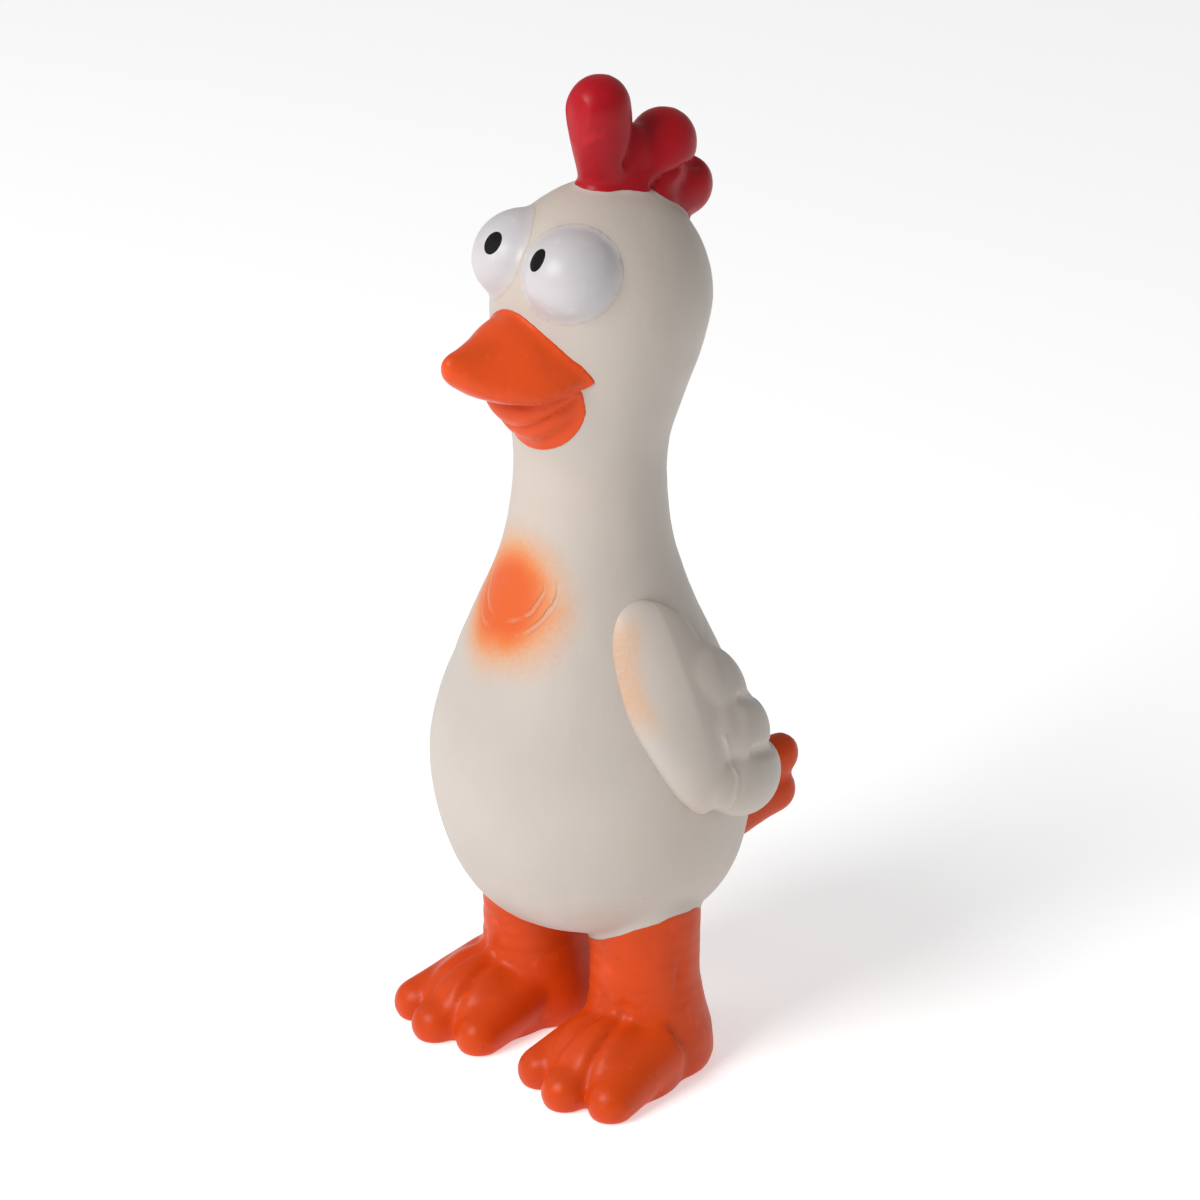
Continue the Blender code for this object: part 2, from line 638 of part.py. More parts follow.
def main():
    for old in list(bpy.data.objects):
        bpy.data.objects.remove(old)

    body = body_form("body_room", -GAP)
    torso = make_torso()
    belly = make_belly()
    neck = make_neck()
    head = make_head()
    torso_filling, neck_filling, head_filling = make_fillings()
    legs = [make_leg(side, body) for side in (1, -1)]
    wings = [make_wing(side, body) for side in (1, -1)]
    tail = make_tail(body)
    comb = make_comb(body)
    eyes = []
    pupils = []
    for side in (1, -1):
        eye, pupil = make_eye(side, body)
        eyes.append(eye)
        pupils.append(pupil)
    upper_beak, lower_beak, tongue = make_beak(body)
    housing, reed_block, reed, clamp = make_squeaker()
    discard(body)

    for piece in (torso, belly, neck, head, *wings):
        finish(piece, CREAM, LATEX_ROUGHNESS)
    for piece in (upper_beak, lower_beak, tongue, tail, *legs):
        finish(piece, ORANGE, LATEX_ROUGHNESS)
    for piece in (torso_filling, neck_filling, head_filling):
        finish(piece, (0.85, 0.85, 0.83), 0.95)
    for piece in eyes:
        finish(piece, (0.80, 0.79, 0.79), 0.35)
    for piece in pupils:
        finish(piece, (0.012, 0.012, 0.014), 0.35)
    for piece in (housing, reed_block, clamp):
        finish(piece, (0.80, 0.80, 0.76), 0.35)
    finish(comb, (0.42, 0.014, 0.024), 0.38)
    finish(reed, (0.70, 0.48, 0.20), 0.3, 1.0)

    stand = axis_point("chicken", Vector(), None)
    neck_axis = axis_point("neck_axis", NECK_PIVOT, stand)
    head_axis = axis_point("head_axis", HEAD_PIVOT, neck_axis)
    belly_axis = axis_point("belly_axis", BELLY_MIDDLE, stand)
    tail_axis = axis_point("tail_axis", TAIL_HINGE, stand)
    comb_axis = axis_point("comb_axis", COMB_HINGE, head_axis)
    beak_axis = axis_point("beak_axis", BEAK_HINGE, head_axis)
    reed_root = Vector((SQUEAKER.x, SQUEAKER.y, REED_BLOCK_LEVELS[1] - REED_CLAMP_HEIGHT))
    reed_axis = axis_point("reed_axis", reed_root, stand)
    for piece in (torso, torso_filling, *legs, housing, reed_block, clamp):
        hang(piece, stand)
    for piece in (neck, neck_filling):
        hang(piece, neck_axis)
    for piece in (head, head_filling, *eyes, *pupils, lower_beak, tongue):
        hang(piece, head_axis)
    hang(belly, belly_axis)
    hang(tail, tail_axis)
    hang(comb, comb_axis)
    hang(upper_beak, beak_axis)
    hang(reed, reed_axis)
    for side, wing in zip((1, -1), wings):
        wing_axis = axis_point(wing.name + "_axis", mirrored(side, WING_HINGE), stand)
        hang(wing, wing_axis)

    for piece in bpy.data.objects:
        if piece.type == "MESH":
            smooth(piece)


main()
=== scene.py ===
"""Rubber chicken: the finished surfaces of a painted latex squeaky toy.

Shapes are worked out in millimetres from the middle of the legs, with the chicken facing -Y
and its left side at +X, and are turned into metres when they are finished.
"""
import math

import bmesh
import bpy
from bpy.props import FloatProperty, FloatVectorProperty, IntProperty, PointerProperty
from mathutils import Matrix, Vector, noise


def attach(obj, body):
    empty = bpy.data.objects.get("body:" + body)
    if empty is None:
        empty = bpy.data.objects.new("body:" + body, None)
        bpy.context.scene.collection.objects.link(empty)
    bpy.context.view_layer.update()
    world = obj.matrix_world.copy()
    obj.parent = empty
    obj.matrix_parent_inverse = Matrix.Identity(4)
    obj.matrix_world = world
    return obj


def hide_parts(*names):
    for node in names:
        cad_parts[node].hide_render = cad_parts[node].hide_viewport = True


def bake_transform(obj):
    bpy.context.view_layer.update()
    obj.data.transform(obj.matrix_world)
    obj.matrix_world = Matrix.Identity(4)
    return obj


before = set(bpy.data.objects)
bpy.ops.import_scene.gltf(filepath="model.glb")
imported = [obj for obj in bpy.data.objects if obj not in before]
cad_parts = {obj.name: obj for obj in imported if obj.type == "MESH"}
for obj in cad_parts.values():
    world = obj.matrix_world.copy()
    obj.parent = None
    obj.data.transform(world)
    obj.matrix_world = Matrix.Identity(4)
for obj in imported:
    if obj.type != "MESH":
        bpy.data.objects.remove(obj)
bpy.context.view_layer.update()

bl_info = {
    "name": "Rubber Chicken",
    "version": (1, 0, 0),
    "blender": (4, 5, 0),
    "location": "View3D > Sidebar > Chicken",
    "description": "Makes a painted latex squeaky chicken, piece by piece",
    "category": "Object",
}

MM = 0.001
MIDDLE_OF_LEGS = Vector((0, -11.1, 0))

# Height, half width, half depth, how far back the middle lies, from underside to crown
OUTLINE = [
    (32.6, 0.2, 0.2, 2.0), (33.2, 9.0, 9.0, 2.0), (34.6, 17.0, 17.0, 2.0),
    (38.1, 25.0, 25.0, 2.0), (43.6, 30.3, 30.3, 2.0), (51.6, 34.3, 34.3, 1.6),
    (63.6, 37.0, 37.0, 0.9), (74.6, 37.7, 37.7, 0.3), (86.6, 35.6, 35.6, -0.2),
    (100.6, 30.1, 30.1, -0.8), (112.1, 25.2, 25.2, -1.1), (127.6, 19.7, 19.7, -0.5),
    (143.6, 17.6, 17.6, 0.0), (153.6, 18.0, 18.2, 0.4), (163.6, 20.2, 21.0, 1.4),
    (174.6, 22.5, 24.8, 2.7), (186.6, 23.6, 26.6, 3.6), (197.6, 21.2, 24.2, 3.2),
    (205.6, 16.0, 18.8, 3.0), (210.6, 9.5, 11.5, 3.0), (212.9, 3.5, 4.5, 3.0),
    (213.2, 0.2, 0.2, 3.0),
]
REAR_SAG = 3.0                  # how much lower the body's underside is at the back
REAR_SAG_ENDS = (40, 85)        # the heights between which the sag dies out
NECK_SEAM = 118.0
HEAD_SEAM = 141.0

LEG_X = 19.0
LEG_SECTIONS = [                # height, radius, how far back the middle lies
    (0.0, 14.2, 1.5), (3.0, 15.2, 1.5), (9.0, 15.0, 1.3), (15.0, 13.8, 0.8),
    (24.0, 12.8, 0.0), (33.0, 12.9, 0.0), (48.0, 13.2, 0.0),
]
# An ellipsoid is its middle and its half sizes, then its tilt in degrees if it leans
INSTEP = (Vector((3.0, -11.5, 4.8)), Vector((15.0, 17.5, 12.6)))
TOES = [                        # root and tip, outward and forward of the leg
    (Vector((-3.6, -6.0, 8.5)), Vector((-7.8, -25.4, 3.4))),
    (Vector((2.8, -8.0, 8.5)), Vector((4.2, -28.8, 3.4))),
    (Vector((9.0, -5.0, 8.5)), Vector((15.4, -24.6, 3.4))),
]
TOE_RADII = (8.6, 5.6)
TOE_CREASES = [
    (Vector((-2.0, -30.0)), Vector((0.8, -7.0))),
    (Vector((9.9, -30.0)), Vector((4.4, -6.0))),
]
TOE_CREASE_SIZE = (1.4, 1.4)    # width, depth
ANKLE_RINGS = (19.5, 23.0, 27.5, 31.0, 35.0)
ANKLE_RING_SIZE = (1.0, 0.24)
ANKLE_DENT = (Vector((32.0, -0.8, 27.7)), Vector((3.0, 1.3, 4.4)))

TAIL_FINGERS = [                # root, tip, and the radius at each
    (Vector((0, 22.0, 46.0)), Vector((0, 60.7, 53.8)), 11.0, 5.6),
    (Vector((0, 23.0, 41.5)), Vector((0, 60.0, 44.6)), 9.6, 5.6),
]
TAIL_FLATNESS = 0.8             # of its width across the body
TAIL_CUT = 38.0

COMB_FINGERS = [                # root, tip, and the radius at each
    (Vector((0, 6.5, 203.0)), Vector((0, 2.6, 230.6)), 5.6, 7.6),
    (Vector((0, 10.5, 205.0)), Vector((0, 21.8, 217.8)), 7.4, 8.4),
    (Vector((0, 13.5, 203.5)), Vector((0, 28.6, 206.4)), 7.2, 7.0),
]
COMB_FLATNESS = 0.88
COMB_CREASES = [                # back and height of the points of each crease
    [Vector((5.6, 218.0)), Vector((8.6, 222.5)), Vector((12.0, 228.0))],
    [Vector((13.0, 211.5)), Vector((16.0, 213.0)), Vector((22.0, 213.6)), Vector((30.0, 212.4))],
]
COMB_CREASE_SIZE = (1.2, 1.3)
COMB_WEB = (Vector((0, 11.6, 214.0)), Vector((5.9, 8.0, 11.0)), 0.0)
COMB_BASE = (Vector((0, 12.4, 206.6)), Vector((8.0, 14.6, 12.5)), -24.0)

EYE = (Vector((8.7, -12.5, 197.0)), Vector((10.7, 11.9, 10.8)))
PUPIL_SPOT = Vector((7.5, -22.4, 202.8))
PUPIL_HALF = (1.95, 2.6)

BEAK_SECTIONS = [               # how far forward, half width, lower edge, ridge
    (7.0, 13.0, 177.5, 187.0), (12.5, 15.4, 175.6, 187.3), (16.0, 15.9, 174.6, 187.5),
    (20.0, 15.2, 173.4, 187.7), (25.0, 13.4, 172.4, 187.5), (28.0, 12.0, 172.1, 186.7),
    (31.5, 9.8, 172.6, 185.0), (36.5, 6.4, 175.0, 183.6), (40.3, 3.8, 177.6, 182.9),
    (42.4, 2.0, 179.5, 182.5), (43.4, 0.6, 180.6, 181.9),
]
BEAK_CROWN = 1.5                # above 1 the sides fall in from the ridge and flare to the edge
BEAK_KEEL = 2.4                 # depth of the beak's underside below its edge
JAW = (Vector((0, -13.9, 170.0)), Vector((13.2, 12.2, 14.5)))

MOUTH_FRONT = (-29.5, -26.5)    # where the folds of the mouth fade out under the beak
MOUTH_RISE = 8.5                # how much higher the folds are at the corners of the mouth
MOUTH_FOLDS = [                 # height, share of the rise, width, depth
    (160.8, 1.0, 1.1, 1.2), (157.2, 0.9, 0.9, 0.5), (165.0, 0.7, 2.2, -1.0),
]
FOLD_UNDER_BEAK = (169.6, 0.4, 1.5, 1.2)

WING_STRETCH = 5.0
WING_LEAF = (Vector((-1.9, 0.8, 95.6)), Vector((14.6, 6.2, 25.2)), -11.0)
WING_EGG = (0.22, 0.55)         # how much wider the leaf's front and back are near its top
WING_SINK = {                   # how fast each leaf sinks towards its front, low down and high up
    1: (0.04, 0.24),
    -1: (0.16, 0.46),
}
WING_SINK_ENDS = (84, 106)      # the heights between which the sinking grows
WING_FEATHERS = [
    (Vector((10.0, 2.8, 99.8)), Vector((14.4, 4.8, 8.0)), 23.0),
    (Vector((14.0, 3.0, 88.6)), Vector((17.0, 5.0, 8.8)), 20.0),
    (Vector((17.0, 2.8, 75.0)), Vector((20.6, 5.0, 9.2)), 13.0),
]
WING_VALLEYS = [                # way round and height of the points, then depth and width
    ([Vector((12.4, 104.0)), Vector((9.2, 90.0)), Vector((6.2, 80.0)), Vector((2.0, 71.0))],
     0.45, 2.4),
    ([Vector((13.5, 95.4)), Vector((25.0, 90.6))], 0.8, 1.3),
    ([Vector((13.0, 83.4)), Vector((30.0, 77.8))], 0.9, 1.3),
]
WING_SEAM = [Vector((4.4, 90.0)), Vector((6.6, 80.0)), Vector((3.4, 70.5))]
WING_SEAM_SIZE = (0.45, -0.34)

CHEST_MIDDLE = (-3.0, 118.3)    # way round the body, height
CHEST_PATCH = (15.5, 13.2)      # how far the sprayed patch reaches sideways, and up and down
CHEST_RADIUS = 23.0             # of the body at the patch
CHEST_STROKES = (11.0, 14.5)    # radii of the arcs in the patch
CHEST_CORE = (0.68, 0.105, 0.014)
WING_BLUSH = (0.68, 0.33, 0.13)
PUPIL_BLACK = (0.006, 0.006, 0.007)

# How far each edge of paint stands outside the form that it covers
BEAK_EDGE = 0.9
JAW_EDGE = Vector((1.2, 1.4, 1.2))
EYE_EDGE = Vector((0.7, 0.7, 0.7))
COMB_EDGE = 0.4
LEG_EDGE = 1.6
BRUSH_WANDER = 0.8

# How far each film of paint stands off the skin
LEG_FILM = 0.12
UPPER_BEAK_FILM = 0.4
LOWER_BEAK_FILM = 0.35
EYE_FILM = 0.08
PUPIL_FILM = 0.20

FIBRE_GRAIN = 1.6
FIBRE_SOFTENING = 4

AIM = (0, 0, 111.9)
AIM_ASIDE = 2.3
LIGHTS = [                      # name, way round, rise, distance, size, share of the key light
    ("key_light", 0, 38, 1.3, 0.6, 1.0), ("side_light", -60, 30, 1.5, 0.8, 0.12),
]
FLOOR_GLOW = 0.42


class ChickenSizes(bpy.types.PropertyGroup):
    wall: FloatProperty(
        name="Wall", description="Thickness of the latex", default=2.0, min=0.5, max=4.0)
    grain: FloatProperty(
        name="Grain", description="Spacing of the surface points on the moulding, in millimetres",
        default=0.95, min=0.6, max=3.0)
    wing_grain: FloatProperty(
        name="Wing grain", description="Spacing of the surface points on the wings",
        default=0.6, min=0.4, max=3.0)
    softening: IntProperty(
        name="Softening", description="Rounds of smoothing that make the fillets",
        default=9, min=0, max=40)
    wing_softening: IntProperty(
        name="Wing softening", description="Rounds of smoothing on the wings",
        default=18, min=0, max=40)
    paint: FloatProperty(
        name="Comb paint", description="How far the comb's paint stands off the skin",
        default=0.22, min=0.0, max=1.0)


class ChickenPaints(bpy.types.PropertyGroup):
    cream: FloatVectorProperty(
        name="Cream", description="Colour of the bare latex", subtype="COLOR", size=3,
        default=(0.535, 0.476, 0.426), min=0, max=1)
    orange: FloatVectorProperty(
        name="Orange", description="Paint of the tail and the feet", subtype="COLOR",
        size=3, default=(0.63, 0.058, 0.003), min=0, max=1)
    beak: FloatVectorProperty(
        name="Beak", description="Paint of the beak", subtype="COLOR", size=3,
        default=(0.72, 0.076, 0.011), min=0, max=1)
    blush: FloatVectorProperty(
        name="Blush", description="Thin orange sprayed over the latex", subtype="COLOR",
        size=3, default=(0.70, 0.29, 0.09), min=0, max=1)
    red: FloatVectorProperty(
        name="Red", description="Paint of the comb", subtype="COLOR", size=3,
        default=(0.40, 0.004, 0.011), min=0, max=1)
    white: FloatVectorProperty(
        name="White", description="Paint of the eyes", subtype="COLOR", size=3,
        default=(0.56, 0.535, 0.545), min=0, max=1)
    sheen: FloatProperty(
        name="Roughness", description="Roughness of the latex", default=0.46, min=0, max=1)


class ChickenStage(bpy.types.PropertyGroup):
    turn: FloatProperty(
        name="Turn", description="Way round the chicken to the camera", default=math.radians(48),
        subtype="ANGLE")
    rise: FloatProperty(
        name="Rise", description="Height of the camera above the horizon",
        default=math.radians(23.5), subtype="ANGLE")
    distance: FloatProperty(
        name="Distance", description="From the camera to the chicken", default=1.35,
        unit="LENGTH")
    focal: FloatProperty(
        name="Focal length", description="Focal length of the camera in millimetres",
        default=175.8)
    key: FloatProperty(name="Key light", description="Power of the key light", default=12.4)
    room: FloatProperty(name="Room light", description="Strength of the room's light",
                        default=0.34)


def sizes():
    return bpy.context.scene.chicken_sizes


def paints():
    return bpy.context.scene.chicken_paints


# ---- solids ----

def link(name, mesh):
    piece = bpy.data.objects.new(name, mesh)
    bpy.context.scene.collection.objects.link(piece)
    return piece


def solid(name, shape):
    """An object in millimetres from a closed bmesh."""
    bmesh.ops.recalc_face_normals(shape, faces=shape.faces)
    mesh = bpy.data.meshes.new(name)
    shape.to_mesh(mesh)
    shape.free()
    return link(name, mesh)


def discard(piece):
    mesh = piece.data
    bpy.data.objects.remove(piece)
    if mesh.users == 0:
        bpy.data.meshes.remove(mesh)


def copied(name, piece):
    return link(name, piece.data.copy())


def apply(piece):
    """Makes the piece's modifiers part of its mesh."""
    seen = piece.evaluated_get(bpy.context.evaluated_depsgraph_get())
    mesh = bpy.data.meshes.new_from_object(seen)
    piece.modifiers.clear()
    old = piece.data
    piece.data = mesh
    bpy.data.meshes.remove(old)


def combine(piece, tool, operation, keep_tool=False):
    """Joins a piece with a tool, cuts it, or keeps what is inside the tool."""
    change = piece.modifiers.new(operation.lower(), "BOOLEAN")
    change.operation = operation
    change.solver = "MANIFOLD"
    change.object = tool
    bpy.context.view_layer.update()
    apply(piece)
    if not piece.data.polygons:
        raise RuntimeError(f"{piece.name} has nothing left after {operation} with {tool.name}")
    if not keep_tool:
        discard(tool)


def remesh(piece, grain, softening):
    """One even skin over all the forms of a piece, with its hollows filleted."""
    skin = piece.modifiers.new("skin", "REMESH")
    skin.mode = "VOXEL"
    skin.voxel_size = grain
    soften = piece.modifiers.new("soften", "SMOOTH")
    soften.factor = 0.5
    soften.iterations = softening
    bpy.context.view_layer.update()
    apply(piece)


def displace(piece, depth):
    """Moves each point along its normal by a function of its place and normal."""
    shape = bmesh.new()
    shape.from_mesh(piece.data)
    shape.normal_update()
    moves = [(vert, vert.normal * depth(vert.co, vert.normal)) for vert in shape.verts]
    for vert, move in moves:
        vert.co += move
    shape.to_mesh(piece.data)
    shape.free()


def add_ellipsoid(shape, middle, half, tilt=0.0, axis="X", sides=48):
    place = Matrix.Translation(middle) @ Matrix.Rotation(math.radians(tilt), 4, axis)
    place = place @ Matrix.Diagonal(half.to_4d())
    made = bmesh.ops.create_uvsphere(
        shape, u_segments=sides, v_segments=sides // 2, radius=1.0, matrix=place)
    return made["verts"]


def add_loft(shape, sections, sides=48):
    """Bridges rings made by functions that place the points of a unit circle."""
    rings = []
    for section in sections:
        circle = bmesh.ops.create_circle(shape, segments=sides, radius=1.0)
        for vert in circle["verts"]:
            vert.co = section(vert.co.x, vert.co.y)
        rings.append(list({edge for vert in circle["verts"] for edge in vert.link_edges}))
    for lower, upper in zip(rings, rings[1:]):
        bmesh.ops.bridge_loops(shape, edges=lower + upper)
    for end in (rings[0], rings[-1]):
        bmesh.ops.contextual_create(shape, geom=end)


def add_finger(shape, root, tip, root_radius, tip_radius, flat=1.0, even=False):
    """A finger with a domed tip, its width across X times flat, and its taper even or waisted."""
    along = tip - root
    turn = along.to_track_quat("Z", "X").to_matrix()
    stations = []
    for step in range(9):
        share = step / 8
        swell = share if even else share * share * (3 - 2 * share)
        stations.append((along.length * share, root_radius + (tip_radius - root_radius) * swell))
    for angle in range(10, 90, 10):
        rise = math.radians(angle)
        stations.append(
            (along.length + tip_radius * math.sin(rise), tip_radius * math.cos(rise)))

    def ring(height, radius):
        def section(u, v):
            point = root + turn @ Vector((radius * u, radius * v, height))
            return Vector((point.x * flat + root.x * (1 - flat), point.y, point.z))
        return section

    add_loft(shape, [ring(height, radius) for height, radius in stations], sides=32)


def box(name, low, high):
    shape = bmesh.new()
    middle = (Vector(low) + Vector(high)) / 2
    size = Vector(high) - Vector(low)
    bmesh.ops.create_cube(
        shape, size=1.0, matrix=Matrix.Translation(middle) @ Matrix.Diagonal(size.to_4d()))
    return solid(name, shape)


def outline_at(height):
    """Half width, half depth and middle of the body at a height, on a smooth curve."""
    rows = OUTLINE
    height = min(max(height, rows[0][0]), rows[-1][0])
    index = next(i for i in range(len(rows) - 1) if height <= rows[i + 1][0])
    low, high = rows[index], rows[index + 1]
    before = rows[max(index - 1, 0)]
    after = rows[min(index + 2, len(rows) - 1)]
    span = high[0] - low[0]
    share = (height - low[0]) / span
    values = []
    for column in (1, 2, 3):
        start = (high[column] - before[column]) / (high[0] - before[0]) * span
        end = (after[column] - low[column]) / (after[0] - low[0]) * span
        square, cube = share * share, share ** 3
        values.append(
            low[column] * (2 * cube - 3 * square + 1) + start * (cube - 2 * square + share)
            + high[column] * (3 * square - 2 * cube) + end * (cube - square))
    return values


def body_levels():
    """Heights of the body's rings, close together at its two ends."""
    low, high = OUTLINE[0][0], OUTLINE[-1][0]
    count = 90
    return [low + (high - low) * (1 - math.cos(math.pi * i / count)) / 2
            for i in range(count + 1)]


def add_body(shape, inset):
    sections = []
    for height in body_levels():
        width, depth, back = outline_at(height)
        lower = outline_at(height - 0.5)
        upper = outline_at(height + 0.5)
        spread = (upper[0] - lower[0] + upper[1] - lower[1]) / 2
        length = math.hypot(1.0, spread)
        level = height + inset * spread / length
        wide = max(width - inset / length, 0.1)
        deep = max(depth - inset / length, 0.1)
        sag = REAR_SAG * (1 - fade(height, *REAR_SAG_ENDS))
        sections.append(
            lambda u, v, level=level, wide=wide, deep=deep, back=back, sag=sag:
            Vector((wide * u, back + deep * v, level - sag * max(v, 0) ** 2)))
    add_loft(shape, sections, sides=72)


def body_form(name, inset):
    shape = bmesh.new()
    add_body(shape, inset)
    return solid(name, shape)


def add_beak(shape, grow=0.0):
    """The upper beak, or a larger copy of it that cuts the edge of its paint."""
    sections = []
    for forward, width, edge, ridge in BEAK_SECTIONS:
        def section(u, v, forward=forward, width=width, edge=edge, ridge=ridge):
            wide = width + grow
            low = edge - grow
            rise = ridge + grow - low
            reach = forward + grow * (forward > 40)
            crown = rise * v ** BEAK_CROWN if v > 0 else BEAK_KEEL * v
            return Vector((wide * u, -reach, low + crown))
        sections.append(section)
    add_loft(shape, sections, sides=48)


def mirrored(side, point):
    return Vector((side * point.x, point.y, point.z))


def on_leg(side, point):
    """A place on one of the legs, from its place outward and forward of the leg."""
    return Vector((side * (LEG_X + point.x), point.y, point.z))


# ---- the moulding ----

def groove(distance, width, depth):
    """How far a groove pushes the surface in, or out where its depth is below 0."""
    return -depth * math.exp(-(distance / width) ** 2)


def beside(point, start, end):
    """Distance in a plane from a point to a line between two points, and the share along it."""
    along = end - start
    share = max(0.0, min(1.0, (point - start).dot(along) / along.length_squared))
    return (point - start - along * share).length, share


def near_path(point, path):
    """Distance in a plane from a point to a path."""
    return min(beside(point, start, end)[0] for start, end in zip(path, path[1:]))


def fade(value, low, high):
    """0 up to the low value, 1 from the high value on, and smooth between them."""
    share = max(0.0, min(1.0, (value - low) / (high - low)))
    return share * share * (3 - 2 * share)


def foot_relief(point, normal):
    """Creases between the toes, rings round the ankle and a dent in one leg."""
    side = 1 if point.x > 0 else -1
    plan = Vector((side * point.x - LEG_X, point.y))
    move = 0.0
    if point.z < 22 and normal.z > -0.2:
        for start, end in TOE_CREASES:
            distance, share = beside(plan, start, end)
            reach = fade(share, 0.0, 0.3) * (1 - fade(share, 0.5, 1.0))
            width, depth = TOE_CREASE_SIZE
            move += groove(distance, width, depth * reach)
    for level in ANKLE_RINGS:
        turn = math.atan2(plan.y, plan.x)
        wave = 0.7 * math.sin(turn * 2 + level * 1.7 + side)
        front = 0.55 + 0.45 * math.cos(turn + math.pi / 2)
        width, depth = ANKLE_RING_SIZE
        move += groove(point.z - level - wave, width, depth * front)
    middle, half = ANKLE_DENT
    off = point - middle
    reach = Vector((off.x / half.x, off.y / half.y, off.z / half.z)).length
    move += groove(reach, 0.8, 0.9)
    return move


def mouth_relief(point, normal):
    """The folds between the beak, the tongue and the lower lip, and the tongue's swelling."""
    if normal.y > -0.1 or point.y > -12:
        return 0.0
    rise = MOUTH_RISE * (point.x / 13.0) ** 2
    edge = (1 - fade(abs(point.x), 11.5, 16.0)) * fade(point.y, *MOUTH_FRONT)
    under_beak = edge * (1 - fade(abs(point.x), 5.0, 10.0))
    height, share, width, depth = FOLD_UNDER_BEAK
    move = groove(point.z - height - rise * share, width, depth * under_beak)
    for height, share, width, depth in MOUTH_FOLDS:
        move += groove(point.z - height - rise * share, width, depth * edge)
    return move


def comb_relief(point, normal):
    """The creases between the lobes of the comb."""
    plan = Vector((point.y, point.z))
    flank = fade(abs(normal.x), 0.3, 0.7)
    return flank * sum(
        groove(near_path(plan, path), *COMB_CREASE_SIZE) for path in COMB_CREASES)


def surface_relief(point, normal):
    """The latex's slight unevenness, and the lines of the feet, the mouth and the comb."""
    move = 0.10 * noise.noise(point * 0.16) + 0.035 * noise.noise(point * 0.55)
    if point.z < 40:
        move += foot_relief(point, normal)
    elif 152 < point.z < 176:
        move += mouth_relief(point, normal)
    elif point.z > 204 and point.y > 0:
        move += comb_relief(point, normal)
    return move


def make_moulding():
    """The whole toy as one skin, which the pieces are cut from."""
    shape = bmesh.new()
    add_body(shape, 0.0)
    add_beak(shape)
    add_ellipsoid(shape, *JAW)
    for side in (1, -1):
        middle, half = EYE
        add_ellipsoid(shape, mirrored(side, middle), half)
        leg = [
            lambda u, v, level=level, radius=radius, back=back:
            Vector((side * LEG_X + radius * u, back + radius * v, level))
            for level, radius, back in LEG_SECTIONS]
        add_loft(shape, leg)
        middle, half = INSTEP
        add_ellipsoid(shape, on_leg(side, middle), half)
        for root, tip in TOES:
            add_finger(shape, on_leg(side, root), on_leg(side, tip), *TOE_RADII, even=True)
    for fingers, flat in ((TAIL_FINGERS, TAIL_FLATNESS), (COMB_FINGERS, COMB_FLATNESS)):
        for finger in fingers:
            add_finger(shape, *finger, flat=flat)
    for middle, half, tilt in (COMB_WEB, COMB_BASE):
        add_ellipsoid(shape, middle, half, tilt)
    moulding = solid("moulding", shape)
    remesh(moulding, sizes().grain, sizes().softening)
    combine(moulding, box("ground", (-80, -80, -40), (80, 80, 0.4)), "DIFFERENCE")
    displace(moulding, lambda point, normal:
             surface_relief(point, normal) * fade(point.z, 0.5, 2.5))
    return moulding


# ---- cutters: the edges of the paint ----

def brushed_form(name, outset):
    """The body's form, a little larger, with the small unevenness of a brushed edge."""
    form = body_form(name, -outset)
    displace(form, lambda point, normal: BRUSH_WANDER * noise.noise(point * 0.13))
    return form


def down_to_wall(cutter):
    """The cutter without what lies inside the body's wall."""
    combine(cutter, body_form("inside", sizes().wall), "DIFFERENCE")
    return cutter


def beak_cutter():
    shape = bmesh.new()
    add_beak(shape, BEAK_EDGE)
    return down_to_wall(solid("beak_edge", shape))


def jaw_cutter():
    middle, half = JAW
    shape = bmesh.new()
    add_ellipsoid(shape, middle, half + JAW_EDGE)
    return down_to_wall(solid("jaw_edge", shape))


def eye_cutter(side):
    middle, half = EYE
    shape = bmesh.new()
    add_ellipsoid(shape, mirrored(side, middle), half + EYE_EDGE)
    cutter = solid("eye_edge", shape)
    low, high = sorted((0, side * 60))
    combine(cutter, box("half", (low, -60, 150), (high, 60, 250)), "INTERSECT")
    return down_to_wall(cutter)


def comb_cutter():
    cutter = box("comb_edge", (-16, -3.5, 192), (16, 60, 260))
    combine(cutter, brushed_form("head", COMB_EDGE), "DIFFERENCE")
    return cutter


def leg_cutter(side):
    """What holds a leg, up to the edge of its paint on the belly."""
    low, high = sorted((side * 0.6, side * 60))
    cutter = box("leg_edge", (low, -60, -10), (high, 24, 46))
    combine(cutter, brushed_form("belly", LEG_EDGE), "DIFFERENCE")
    return cutter


def tail_cutter():
    return box("tail_edge", (-30, TAIL_CUT, 20), (30, 90, 80))


# ---- materials ----

